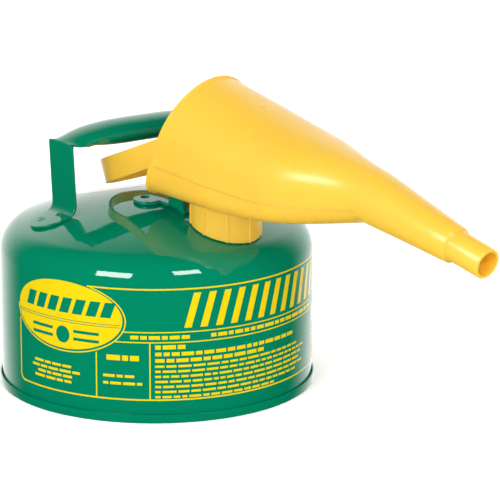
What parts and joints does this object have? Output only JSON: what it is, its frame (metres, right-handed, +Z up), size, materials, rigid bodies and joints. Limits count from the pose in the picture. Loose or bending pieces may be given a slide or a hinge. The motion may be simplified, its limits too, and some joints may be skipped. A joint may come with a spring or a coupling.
{
  "type": "safety gas can",
  "caption": "Round steel safety gas can with a spring-closed lid, a strap carrying handle and a yellow plastic pouring funnel on its neck",
  "frame": {"origin": "centre of the bounding box on the ground plane, under the can's seam", "axes": "+X the way the can pours, along the funnel; +Y to the left of that; +Z up from the ground"},
  "size_m": [0.4416, 0.2296, 0.2342],
  "materials": {
    "green_enamel": "high-gloss green enamel",
    "yellow_plastic": "satin yellow polyethylene",
    "plated_steel": "bright zinc plate",
    "black_rubber": "matt black fuel-resistant rubber"
  },
  "bodies": {
    "can": {"can_shell": "green_enamel", "can_base": "green_enamel", "spout_neck": "green_enamel", "arrester_screen": "plated_steel", "arrester_rim": "plated_steel", "arrester_cap": "plated_steel", "arrester_clip": "plated_steel", "carrying_handle": "green_enamel", "hinge_bracket": "green_enamel", "hinge_pin": "plated_steel", "pin_retainer": "plated_steel", "lid_spring": "plated_steel"},
    "lid": {"lid_cap": "green_enamel", "lid_gasket": "black_rubber", "gasket_washer": "plated_steel", "lid_rivet": "plated_steel", "lid_lever": "plated_steel"},
    "funnel": {"funnel_bell": "yellow_plastic", "funnel_collar": "yellow_plastic", "funnel_nozzle": "yellow_plastic", "funnel_hoop": "yellow_plastic"}
  },
  "joints": [
    {"name": "lid_hinge", "type": "hinge", "parent": "can", "child": "lid", "pos_m": [-0.06653, 0, 0.161], "axis": [0, -1, 0], "range_deg": [0, 50], "stiffness_Nm_per_rad": 0.6, "springref_deg": -45.84, "deforming": ["lid_spring"]},
    {"name": "funnel_lift", "type": "slide", "parent": "can", "child": "funnel", "axis": [0, 0, 1], "range_m": [0, 0.003]}
  ]
}
